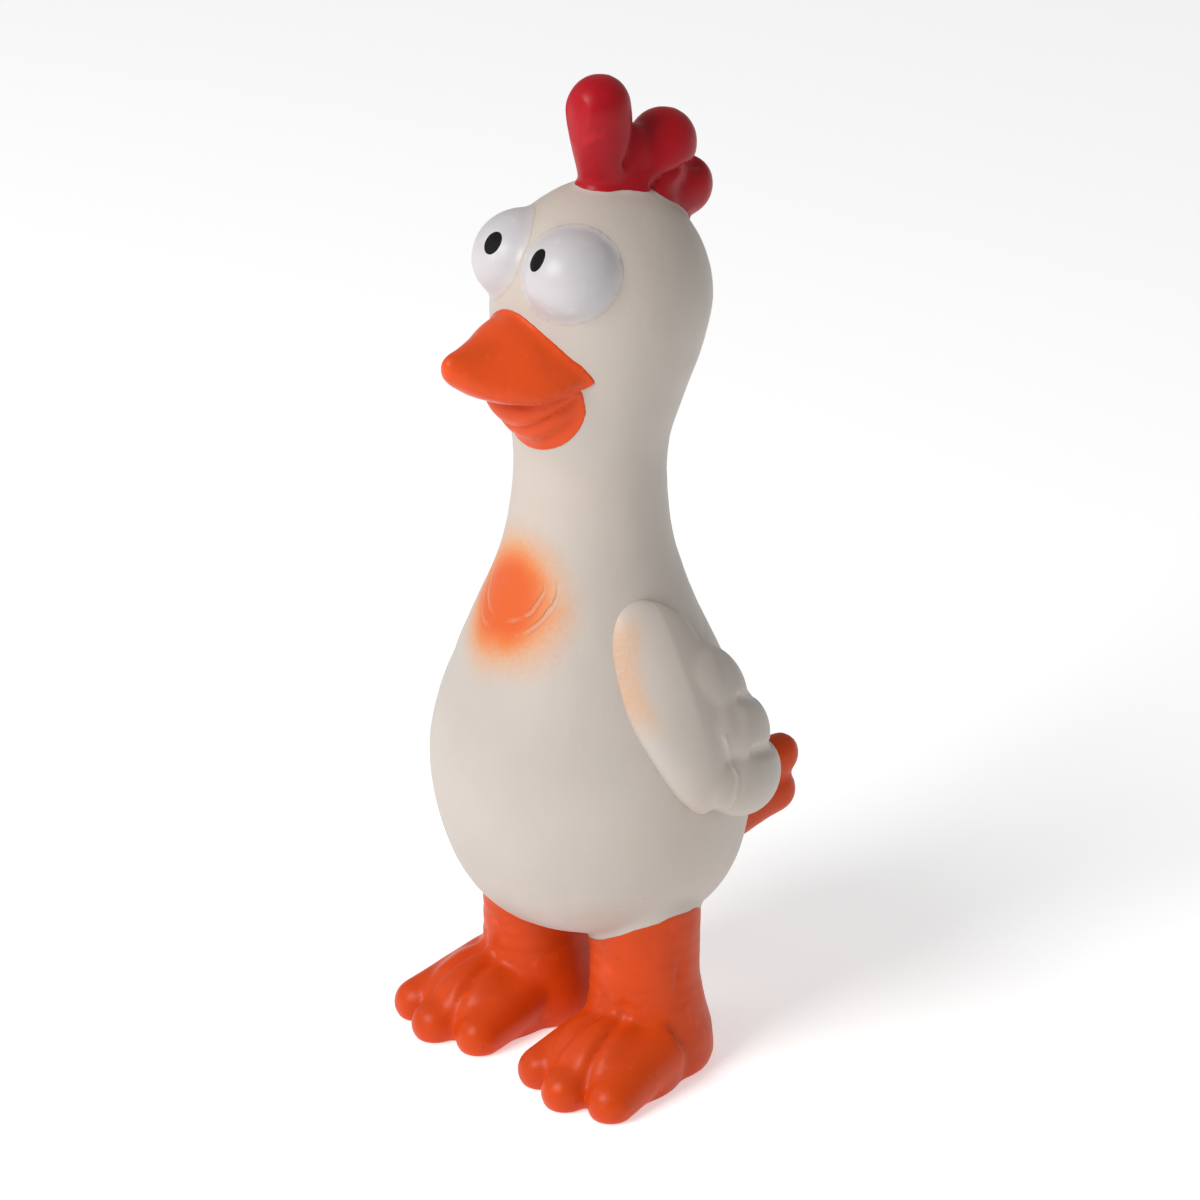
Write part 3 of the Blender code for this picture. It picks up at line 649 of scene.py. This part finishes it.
class Paint:
    """A material whose patterns are laid out in millimetres from the middle of the legs."""

    def __init__(self, name):
        self.material = bpy.data.materials.new(name)
        self.material.use_nodes = True
        self.tree = self.material.node_tree
        self.shader = self.tree.nodes["Principled BSDF"]
        coordinates = self.node("ShaderNodeTexCoord")
        mapping = self.node("ShaderNodeMapping")
        mapping.inputs["Location"].default_value = -MIDDLE_OF_LEGS
        mapping.inputs["Scale"].default_value = (1 / MM, 1 / MM, 1 / MM)
        self.join(coordinates.outputs["Object"], mapping.inputs["Vector"])
        self.place = mapping.outputs["Vector"]

    def node(self, kind, **settings):
        made = self.tree.nodes.new(kind)
        for key, value in settings.items():
            setattr(made, key, value)
        return made

    def join(self, source, target):
        self.tree.links.new(source, target)

    def feed(self, socket, value):
        if isinstance(value, bpy.types.NodeSocket):
            self.join(value, socket)
        else:
            socket.default_value = value

    def noise(self, size, detail=2.0, roughness=0.5):
        made = self.node("ShaderNodeTexNoise")
        made.inputs["Scale"].default_value = 1 / size
        made.inputs["Detail"].default_value = detail
        made.inputs["Roughness"].default_value = roughness
        self.join(self.place, made.inputs["Vector"])
        return made.outputs["Fac"]

    def grit(self):
        """The fine grain of sprayed paint."""
        return self.noise(0.9, 3, 0.7)

    def specks(self, size, radius):
        """1 in small spots about a size apart, 0 elsewhere."""
        made = self.node("ShaderNodeTexVoronoi")
        made.inputs["Scale"].default_value = 1 / size
        self.join(self.place, made.inputs["Vector"])
        return self.ramp(made.outputs["Distance"], radius, radius * 0.6)

    def ramp(self, value, low, high):
        made = self.node("ShaderNodeMapRange", interpolation_type="SMOOTHSTEP")
        self.feed(made.inputs["Value"], value)
        if low < high:
            made.inputs["From Min"].default_value = low
            made.inputs["From Max"].default_value = high
        else:
            made.inputs["From Min"].default_value = high
            made.inputs["From Max"].default_value = low
            made.inputs["To Min"].default_value = 1.0
            made.inputs["To Max"].default_value = 0.0
        return made.outputs["Result"]

    def math(self, operation, first, second=0.0, clamp=False):
        made = self.node("ShaderNodeMath", operation=operation, use_clamp=clamp)
        self.feed(made.inputs[0], first)
        self.feed(made.inputs[1], second)
        return made.outputs[0]

    def swing(self, value, amount):
        """A pattern between 0 and 1, as a swing to both sides of 0."""
        return self.math("MULTIPLY", self.math("SUBTRACT", value, 0.5), amount)

    def parts(self, vector):
        made = self.node("ShaderNodeSeparateXYZ")
        self.join(vector, made.inputs[0])
        return made.outputs

    def mix(self, share, first, second):
        made = self.node("ShaderNodeMix", data_type="RGBA")
        self.feed(made.inputs["Factor"], share)
        for socket, value in ((made.inputs["A"], first), (made.inputs["B"], second)):
            self.feed(socket, value if isinstance(value, bpy.types.NodeSocket) else (*value, 1))
        return made.outputs["Result"]

    def bump(self, height, distance, strength=1.0, under=None):
        made = self.node("ShaderNodeBump")
        made.inputs["Strength"].default_value = strength
        made.inputs["Distance"].default_value = distance * MM
        self.join(height, made.inputs["Height"])
        if under:
            self.join(under, made.inputs["Normal"])
        return made.outputs["Normal"]

    def finish(self, colour, roughness, normal, coat=0.0, specular=0.5):
        self.feed(self.shader.inputs["Base Color"], colour)
        self.feed(self.shader.inputs["Roughness"], roughness)
        self.join(normal, self.shader.inputs["Normal"])
        self.shader.inputs["Coat Weight"].default_value = coat
        self.shader.inputs["Coat Roughness"].default_value = 0.28
        self.shader.inputs["Specular IOR Level"].default_value = specular
        return self.material


def scaled(colour, factor):
    return tuple(channel * factor for channel in colour)


def chest_ring(paint, along, height, radius, width):
    """A thin carved arc round the chest's sprayed patch."""
    flat = paint.math("POWER", along, 2)
    rise = paint.math("POWER", paint.math("MULTIPLY", paint.math(
        "SUBTRACT", height, CHEST_MIDDLE[1] + 5.5), 1.1), 2)
    reach = paint.math("SQRT", paint.math("ADD", flat, rise))
    wobbly = paint.math("ADD", reach, paint.swing(paint.noise(9.0), 3.0))
    off = paint.math("ABSOLUTE", paint.math("SUBTRACT", wobbly, radius))
    return paint.ramp(off, width, width * 0.35)


def bare_latex(paint):
    """The cream of the latex, a little darker or warmer in places."""
    cream = tuple(paints().cream)
    colour = paint.mix(paint.ramp(paint.noise(26, 4), 0.35, 0.7), cream, scaled(cream, 0.945))
    warm = (cream[0] * 1.01, cream[1] * 0.975, cream[2] * 0.93)
    return paint.mix(paint.ramp(paint.noise(60, 2), 0.45, 0.75), colour, warm)


def finish_latex(paint, colour, strokes=None):
    """Specks, an uneven sheen and a fine grain over a colour, with strokes carved into it."""
    specks = paint.math("MULTIPLY", paint.specks(17, 0.028), 0.35)
    colour = paint.mix(specks, colour, scaled(paints().cream, 0.45))
    rough = paint.math("ADD", paint.math("MULTIPLY", paint.noise(7, 3), 0.16),
                       paints().sheen - 0.08)
    pimples = paint.math("MULTIPLY", paint.specks(9, 0.05), 0.6)
    normal = paint.bump(paint.math("ADD", paint.noise(1.6, 3), pimples), 0.10, 0.5)
    if strokes:
        normal = paint.bump(paint.math("MULTIPLY", strokes, -1), 0.35, 0.8, normal)
    return paint.finish(colour, rough, normal, specular=0.42)


def wing_latex(name):
    """Latex with a thin blush along the front edge of the wing, laid out flat."""
    paint = Paint(name)
    attribute = paint.node("ShaderNodeAttribute", attribute_name="flat")
    along, out, height = paint.parts(attribute.outputs["Vector"])
    edge = paint.math("ADD", along, paint.math(
        "MULTIPLY", paint.math("POWER", paint.math("SUBTRACT", height, 103.0), 2), -0.022))
    near = paint.ramp(edge, -8.5, -13.5)
    tall = paint.math("MULTIPLY", paint.ramp(height, 90, 101), paint.ramp(height, 120, 113))
    spray = paint.math("MULTIPLY", near, tall)
    spray = paint.math("MULTIPLY", spray, paint.ramp(paint.grit(), 0.2, 0.6))
    share = paint.math("MULTIPLY", spray, 0.6)
    return finish_latex(paint, paint.mix(share, bare_latex(paint), WING_BLUSH))


def body_latex(name):
    """Latex with the sprayed patch on the chest and the strokes carved in it."""
    paint = Paint(name)
    x, y, z = paint.parts(paint.place)
    turn = paint.math("ARCTAN2", x, paint.math("MULTIPLY", y, -1))
    along = paint.math("SUBTRACT", paint.math("MULTIPLY", turn, CHEST_RADIUS), CHEST_MIDDLE[0])
    flat = paint.math("POWER", paint.math("DIVIDE", along, CHEST_PATCH[0]), 2)
    rise = paint.math("POWER", paint.math(
        "DIVIDE", paint.math("SUBTRACT", z, CHEST_MIDDLE[1]), CHEST_PATCH[1]), 2)
    reach = paint.math("SQRT", paint.math("ADD", flat, rise))
    soft = paint.math("ADD", reach, paint.swing(paint.noise(14), 0.35))
    haze = paint.ramp(paint.math("ADD", soft, paint.swing(paint.grit(), 0.5)), 1.5, 0.62)
    core = paint.ramp(soft, 1.12, 0.42)
    inner, outer = (chest_ring(paint, along, z, radius, 0.9) for radius in CHEST_STROKES)
    strokes = paint.math("MAXIMUM", inner, outer)
    strokes = paint.math("MULTIPLY", strokes, paint.ramp(paint.noise(6), 0.38, 0.55))
    below = paint.math("MULTIPLY", paint.ramp(z, 126, 121),
                       paint.ramp(paint.math("ABSOLUTE", along), 1.0, 6.0))
    strokes = paint.math("MULTIPLY", strokes, below)
    haze = paint.math("MULTIPLY", haze, paint.math(
        "SUBTRACT", 1.0, paint.math("MULTIPLY", strokes, 0.32)))
    colour = paint.mix(haze, bare_latex(paint), tuple(paints().blush))
    colour = paint.mix(paint.math("MULTIPLY", core, haze), colour, CHEST_CORE)
    return finish_latex(paint, colour, strokes)


def brushed_paint(name, colour, roughness, thin=0.9, coat=0.02, specular=0.2, fading=None):
    """Thick brushed paint with faint streaks, pinholes darkened as painted shade, and a slightly
    darker film in places.

    Fading is a function that makes the share of bare cream where the paint runs out.
    """
    paint = Paint(name)
    shade = paint.mix(paint.ramp(paint.noise(11, 4), 0.35, 0.72), colour, scaled(colour, thin))
    bright = tuple(min(channel * 1.12 + 0.004, 1) for channel in colour)
    shade = paint.mix(paint.ramp(paint.noise(5, 2), 0.6, 0.8), shade, bright)
    if fading:
        shade = paint.mix(fading(paint), shade, tuple(paints().cream))
    shaded_pinholes = paint.specks(8, 0.045)
    # the pinholes are pits in the bump below, and their colour is darkened to half the paint as
    # painted shade in the pits
    shade = paint.mix(paint.math("MULTIPLY", shaded_pinholes, 0.5), shade, scaled(colour, 0.5))
    rough = paint.math("ADD", paint.math("MULTIPLY", paint.noise(6, 3), 0.18), roughness - 0.09)
    height = paint.math("SUBTRACT", paint.noise(2.4, 3), paint.math("MULTIPLY", shaded_pinholes, 0.5))
    return paint.finish(shade, rough, paint.bump(height, 0.14, 0.6), coat, specular)


def tail_root(paint):
    """1 where the tail's sprayed paint has faded out towards the body."""
    back = paint.parts(paint.place)[1]
    return paint.ramp(paint.math("ADD", back, paint.swing(paint.grit(), 4.0)), 46.0, 37.5)


def eye_edge(paint):
    """1 outside the form of the nearer eye, where its paint has faded out."""
    middle, half = EYE
    places = list(paint.parts(paint.place))
    places[0] = paint.math("ABSOLUTE", places[0])
    total = 0.0
    for place, start, size in zip(places, middle, half):
        share = paint.math("DIVIDE", paint.math("SUBTRACT", place, start), size)
        total = paint.math("ADD", paint.math("POWER", share, 2), total)
    return paint.ramp(paint.math("SQRT", total), 0.99, 1.08)


def fibre(name):
    """Loose white fibre, darker in the low parts of its tangle as painted shade."""
    paint = Paint(name)
    tangle_and_painted_shade = paint.noise(1.4, 6, 0.8)
    # the tangle's low parts, which the bump sinks, get the darker white as painted shade
    colour = paint.mix(tangle_and_painted_shade, (0.72, 0.72, 0.70), (0.90, 0.90, 0.88))
    return paint.finish(colour, 0.95, paint.bump(tangle_and_painted_shade, 1.0, 1.0))


def plastic(name, colour, roughness):
    """Moulded plastic with a faint unevenness."""
    paint = Paint(name)
    tone = paint.mix(paint.noise(9, 2), colour, scaled(colour, 0.93))
    return paint.finish(tone, roughness, paint.bump(paint.noise(0.7, 2), 0.03, 0.4))


def material(name, make, *arguments):
    """The material of that name, made the first time that it is asked for."""
    return bpy.data.materials.get(name) or make(name, *arguments)


# ---- finishing a piece ----

def finish(piece, name, surface, smooth=38.0):
    """Turns a piece into metres at its place and gives it its name, finish and slot."""
    piece.name = name
    piece.data.name = name
    piece.data.transform(Matrix.Scale(MM, 4) @ Matrix.Translation(MIDDLE_OF_LEGS))
    piece.data.materials.clear()
    piece.data.materials.append(surface)
    piece.data.shade_smooth()
    piece.data.set_sharp_from_angle(angle=math.radians(smooth))
    return piece


def metres(x, y, z):
    return (Vector((x, y, z)) + MIDDLE_OF_LEGS) * MM


def whole():
    return bpy.data.objects["moulding"]


def region(name, *cutters):
    """The part of the moulding inside a cutter and outside the others."""
    inside, *outside = cutters
    piece = copied(name, whole())
    combine(piece, inside, "INTERSECT")
    for cutter in outside:
        combine(piece, cutter, "DIFFERENCE")
    keep_largest(piece)
    return piece


def keep_largest(piece):
    """Drops crumbs that a cut leaves beside the piece."""
    shape = bmesh.new()
    shape.from_mesh(piece.data)
    unseen = set(shape.verts)
    islands = []
    while unseen:
        stack = [unseen.pop()]
        island = list(stack)
        while stack:
            for edge in stack.pop().link_edges:
                for vert in edge.verts:
                    if vert in unseen:
                        unseen.remove(vert)
                        stack.append(vert)
                        island.append(vert)
        islands.append(island)
    islands.sort(key=len, reverse=True)
    for island in islands[1:]:
        bmesh.ops.delete(shape, geom=island, context="VERTS")
    shape.to_mesh(piece.data)
    shape.free()


def raise_paint(piece, amount):
    displace(piece, lambda point, normal: amount)


class Step:
    """What every step of the chicken shares."""
    bl_options = {"REGISTER", "UNDO"}


def direction(turn, rise):
    """Outward from the chicken, by the angles round it and above the horizon."""
    return Vector((math.sin(turn) * math.cos(rise),
                   -math.cos(turn) * math.cos(rise), math.sin(rise)))


def make_camera(stage, aim):
    outward = direction(stage.turn, stage.rise)
    camera_data = bpy.data.cameras.new("camera")
    camera_data.lens = stage.focal
    camera_data.sensor_width = 36
    camera_data.clip_end = 20
    camera = link("camera", camera_data)
    camera.location = aim + outward * stage.distance
    camera.rotation_euler = (-outward).to_track_quat("-Z", "Y").to_euler()
    bpy.context.scene.camera = camera


def make_floor():
    shape = bmesh.new()
    bmesh.ops.create_grid(shape, x_segments=8, y_segments=8, size=6.0)
    mesh = bpy.data.meshes.new("floor")
    shape.to_mesh(mesh)
    shape.free()
    floor = link("floor", mesh)
    pale = Paint("pale_floor")
    tone = pale.mix(pale.noise(400, 2), (0.93, 0.93, 0.93), (0.95, 0.95, 0.95))
    pale.shader.inputs["Emission Color"].default_value = (1, 1, 1, 1)
    pale.shader.inputs["Emission Strength"].default_value = FLOOR_GLOW
    mesh.materials.append(
        pale.finish(tone, 0.8, pale.bump(pale.noise(3, 2), 0.02, 0.2), specular=0.1))


def make_lights(stage, aim):
    for name, turn, rise, distance, size, share in LIGHTS:
        light_data = bpy.data.lights.new(name, "AREA")
        light_data.size = size
        light_data.energy = stage.key * share
        light = link(name, light_data)
        outward = direction(math.radians(turn), math.radians(rise))
        light.location = aim + outward * distance
        light.rotation_euler = (-outward).to_track_quat("-Z", "Y").to_euler()


class CHICKEN_OT_stage(Step, bpy.types.Operator):
    """Make the floor, the lights and the camera"""
    bl_idname = "chicken.stage"
    bl_label = "Stage"

    def execute(self, context):
        scene = context.scene
        stage = scene.chicken_stage
        right = Vector((math.cos(stage.turn), math.sin(stage.turn), 0))
        aim = metres(*AIM) + right * AIM_ASIDE * MM
        scene.view_settings.view_transform = "Standard"
        make_camera(stage, aim)
        make_floor()
        scene.world = scene.world or bpy.data.worlds.new("room")
        scene.world.use_nodes = True
        background = scene.world.node_tree.nodes["Background"]
        background.inputs["Color"].default_value = (1.0, 1.0, 1.0, 1.0)
        background.inputs["Strength"].default_value = stage.room
        make_lights(stage, aim)
        return {"FINISHED"}


class CHICKEN_OT_moulding(Step, bpy.types.Operator):
    """Make the whole moulding that the pieces are cut from"""
    bl_idname = "chicken.moulding"
    bl_label = "Moulding"

    def execute(self, context):
        make_moulding()
        return {"FINISHED"}


class CHICKEN_OT_feet(Step, bpy.types.Operator):
    """Make the two orange legs with their feet"""
    bl_idname = "chicken.feet"
    bl_label = "Feet"

    def execute(self, context):
        orange = material("foot_paint", brushed_paint, tuple(paints().orange), 0.40)
        for side, word in ((1, "left"), (-1, "right")):
            leg = region("leg", leg_cutter(side))
            raise_paint(leg, LEG_FILM)
            finish(leg, f"painted_leg_{word}", orange)
            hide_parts(f"leg_{word}")
            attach(leg, "torso")
        return {"FINISHED"}


class CHICKEN_OT_comb(Step, bpy.types.Operator):
    """Make the red comb"""
    bl_idname = "chicken.comb"
    bl_label = "Comb"

    def execute(self, context):
        comb = region("comb_form", comb_cutter())
        raise_paint(comb, sizes().paint)
        red = material("comb_paint", brushed_paint, tuple(paints().red), 0.38, 0.86)
        finish(comb, "painted_comb", red)
        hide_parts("comb")
        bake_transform(comb)
        return {"FINISHED"}


class CHICKEN_OT_beak(Step, bpy.types.Operator):
    """Make the upper beak and the open lower beak with its tongue"""
    bl_idname = "chicken.beak"
    bl_label = "Beak"

    def execute(self, context):
        upper = region("beak_form", beak_cutter())
        raise_paint(upper, UPPER_BEAK_FILM)
        orange = material("beak_paint", brushed_paint, tuple(paints().beak), 0.38)
        finish(upper, "painted_upper_beak", orange)
        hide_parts("upper_beak")
        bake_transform(upper)
        lower = region("jaw_form", jaw_cutter(), beak_cutter())
        raise_paint(lower, LOWER_BEAK_FILM)
        finish(lower, "painted_lower_beak", orange)
        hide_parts("lower_beak", "tongue")
        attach(lower, "head")
        return {"FINISHED"}


def pupil_cutter(side):
    """A short oval bar across the eye's surface at the pupil."""
    middle, half = EYE
    spot = mirrored(side, PUPIL_SPOT)
    off = spot - mirrored(side, middle)
    outward = Vector([off[i] / half[i] ** 2 for i in range(3)]).normalized()
    lean = Matrix.Rotation(math.radians(8 * side), 4, "Z")
    turn = outward.to_track_quat("Z", "Y").to_matrix().to_4x4() @ lean
    shape = bmesh.new()
    bmesh.ops.create_cone(
        shape, cap_ends=True, segments=64, radius1=1, radius2=1, depth=2.4,
        matrix=Matrix.Translation(spot) @ turn @ Matrix.Diagonal((*PUPIL_HALF, 1, 1)))
    return solid("pupil_edge", shape)


class CHICKEN_OT_eyes(Step, bpy.types.Operator):
    """Make the white eyes and their black pupils"""
    bl_idname = "chicken.eyes"
    bl_label = "Eyes"

    def execute(self, context):
        white = material("eye_paint", brushed_paint, tuple(paints().white), 0.36, 0.97,
                         0.1, 0.3, eye_edge)
        black = material("pupil_paint", brushed_paint, PUPIL_BLACK, 0.55, 0.9, 0.0, 0.08)
        for side, word in ((1, "left"), (-1, "right")):
            eye = region("eye_form", eye_cutter(side), beak_cutter())
            pupil = copied("pupil_form", eye)
            combine(pupil, pupil_cutter(side), "INTERSECT")
            keep_largest(pupil)
            raise_paint(eye, EYE_FILM)
            raise_paint(pupil, PUPIL_FILM)
            finish(eye, f"painted_eye_{word}", white)
            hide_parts(f"eye_{word}")
            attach(eye, "head")
            finish(pupil, f"painted_pupil_{word}", black)
            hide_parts(f"pupil_{word}")
            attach(pupil, "head")
        return {"FINISHED"}


class CHICKEN_OT_skin(Step, bpy.types.Operator):
    """Make the cream skin of the body, the neck and the head, and the tail"""
    bl_idname = "chicken.skin"
    bl_label = "Skin"

    def execute(self, context):
        latex = material("sprayed_latex", body_latex)
        tail = region("tail_form", tail_cutter())
        orange = material("tail_paint", brushed_paint, tuple(paints().orange), 0.40, 0.9,
                          0.02, 0.2, tail_root)
        finish(tail, "painted_tail", orange)
        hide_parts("tail")
        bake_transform(tail)

        hollow = sizes().wall
        torso = region(
            "torso_form", box("low", (-90, -90, -10), (90, 90, NECK_SEAM)),
            leg_cutter(1), leg_cutter(-1), tail_cutter(), body_form("hollow", hollow))
        finish(torso, "latex_body", latex)
        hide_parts("torso_skin", "belly_panel")
        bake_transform(torso)

        neck = region(
            "neck_form", box("middle", (-90, -90, NECK_SEAM), (90, 90, HEAD_SEAM)),
            body_form("hollow", hollow))
        finish(neck, "latex_neck", latex)
        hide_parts("neck_skin")
        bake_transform(neck)

        head = region(
            "head_form", box("high", (-90, -90, HEAD_SEAM), (90, 90, 300)),
            comb_cutter(), beak_cutter(), jaw_cutter(), eye_cutter(1), eye_cutter(-1),
            body_form("hollow", hollow))
        finish(head, "latex_head", latex)
        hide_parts("head_skin")
        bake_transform(head)
        return {"FINISHED"}


def wing_relief(point):
    """The valleys between the leaf and the feathers, and a raised flash line by the lowest."""
    plan = Vector((point.x, point.z))
    move = groove(near_path(plan, WING_SEAM), *WING_SEAM_SIZE)
    for path, depth, width in WING_VALLEYS:
        move += groove(near_path(plan, path), width, depth)
    return move


def lay_on_body(side, flat):
    """A point of the flat wing, bent round the body's side."""
    half_width, half_depth, back = outline_at(flat.z)
    angle = flat.x / (half_width + WING_STRETCH)
    return Vector((side * (half_width + flat.y) * math.cos(angle),
                   back + (half_depth + flat.y) * math.sin(angle), flat.z))


def make_wing(side):
    """A leaf with three feathers, shaped flat and laid on the body's side."""
    shape = bmesh.new()
    middle, half, turn = WING_LEAF
    for vert in add_ellipsoid(shape, middle, half, turn, "Y"):
        share = (vert.co.z - middle.z) / half.z
        out = vert.co.x - middle.x
        vert.co.x += out * WING_EGG[out > 0] * share
    for middle, half, turn in WING_FEATHERS:
        add_ellipsoid(shape, middle, half, turn, "Y")
    wing = solid("wing_form", shape)
    remesh(wing, sizes().wing_grain, sizes().wing_softening)
    displace(wing, lambda point, normal: wing_relief(point) if normal.y > 0.1 else 0.0)
    for vert in wing.data.vertices:
        low, high = WING_SINK[side]
        slope = low + (high - low) * fade(vert.co.z, *WING_SINK_ENDS)
        vert.co.y += slope * min(vert.co.x + 1.0, 0.0)
    mesh = wing.data
    flat = mesh.attributes.new("flat", "FLOAT_VECTOR", "POINT")
    flat.data.foreach_set("vector", [value for vert in mesh.vertices for value in vert.co])
    for vert in mesh.vertices:
        vert.co = lay_on_body(side, vert.co)
    if side < 0:
        mesh.flip_normals()
    return wing


class CHICKEN_OT_wings(Step, bpy.types.Operator):
    """Make the two wings"""
    bl_idname = "chicken.wings"
    bl_label = "Wings"

    def execute(self, context):
        latex = material("wing_latex", wing_latex)
        for side, word in ((1, "left"), (-1, "right")):
            wing = make_wing(side)
            finish(wing, f"latex_wing_{word}", latex)
            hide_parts(f"wing_{word}")
            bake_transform(wing)
        return {"FINISHED"}


def fluff(point, normal):
    return 0.5 * noise.fractal(point * 0.3, 0.8, 2.0, 4) - 0.3


class CHICKEN_OT_filling(Step, bpy.types.Operator):
    """Make the loose fibre inside the body, the neck and the head"""
    bl_idname = "chicken.filling"
    bl_label = "Filling"

    def execute(self, context):
        loose = material("loose_fibre", fibre)
        for part in ("torso", "neck", "head"):
            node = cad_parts[f"{part}_filling"]
            mesh = node.data.copy()
            mesh.transform(Matrix.Translation(-MIDDLE_OF_LEGS) @ Matrix.Scale(1 / MM, 4)
                           @ node.matrix_world)
            tuft = link("tuft", mesh)
            shape = bmesh.new()
            shape.from_mesh(mesh)
            bmesh.ops.remove_doubles(shape, verts=shape.verts, dist=0.01)
            shape.to_mesh(mesh)
            shape.free()
            remesh(tuft, FIBRE_GRAIN, FIBRE_SOFTENING)
            displace(tuft, fluff)
            finish(tuft, f"fibre_{part}", loose, smooth=180)
            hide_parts(f"{part}_filling")
            if part == "torso":
                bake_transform(tuft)
            elif part == "neck":
                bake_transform(tuft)
            else:
                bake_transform(tuft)
        return {"FINISHED"}


class CHICKEN_OT_squeaker(Step, bpy.types.Operator):
    """Give the squeaker's pieces their plastic"""
    bl_idname = "chicken.squeaker"
    bl_label = "Squeaker"

    def execute(self, context):
        surfaces = {
            "squeaker_housing": plastic("white_plastic", (0.80, 0.80, 0.76), 0.34),
            "squeaker_reed_block": plastic("grey_plastic", (0.62, 0.63, 0.62), 0.4),
            "squeaker_reed_clamp": plastic("clamp_plastic", (0.70, 0.70, 0.68), 0.4),
            "squeaker_reed": plastic("stiff_film", (0.52, 0.45, 0.27), 0.28),
        }
        for name, surface in surfaces.items():
            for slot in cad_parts[name].material_slots:
                slot.material = surface
        return {"FINISHED"}


class CHICKEN_PT_panel(bpy.types.Panel):
    """The steps that make the chicken, in order"""
    bl_idname = "CHICKEN_PT_panel"
    bl_label = "Rubber Chicken"
    bl_space_type = "VIEW_3D"
    bl_region_type = "UI"
    bl_category = "Chicken"

    def draw(self, context):
        layout = self.layout
        for group in (context.scene.chicken_sizes, context.scene.chicken_paints,
                      context.scene.chicken_stage):
            card = layout.box()
            for name in group.bl_rna.properties.keys():
                if name not in ("rna_type", "name"):
                    card.prop(group, name)
        for step in STEPS:
            layout.operator(step.bl_idname)


STEPS = (
    CHICKEN_OT_stage, CHICKEN_OT_moulding, CHICKEN_OT_feet, CHICKEN_OT_comb, CHICKEN_OT_beak,
    CHICKEN_OT_eyes, CHICKEN_OT_skin, CHICKEN_OT_wings, CHICKEN_OT_filling,
    CHICKEN_OT_squeaker,
)
GROUPS = {
    "chicken_sizes": ChickenSizes,
    "chicken_paints": ChickenPaints,
    "chicken_stage": ChickenStage,
}


def register():
    for group in GROUPS.values():
        bpy.utils.register_class(group)
    for name, group in GROUPS.items():
        setattr(bpy.types.Scene, name, PointerProperty(type=group))
    for step in (*STEPS, CHICKEN_PT_panel):
        bpy.utils.register_class(step)


def unregister():
    for step in (CHICKEN_PT_panel, *reversed(STEPS)):
        bpy.utils.unregister_class(step)
    for name, group in GROUPS.items():
        delattr(bpy.types.Scene, name)
        bpy.utils.unregister_class(group)


def main():
    register()
    for step in STEPS:
        getattr(bpy.ops.chicken, step.bl_idname.split(".")[1])()
    discard(whole())


if __name__ == "__main__":
    main()
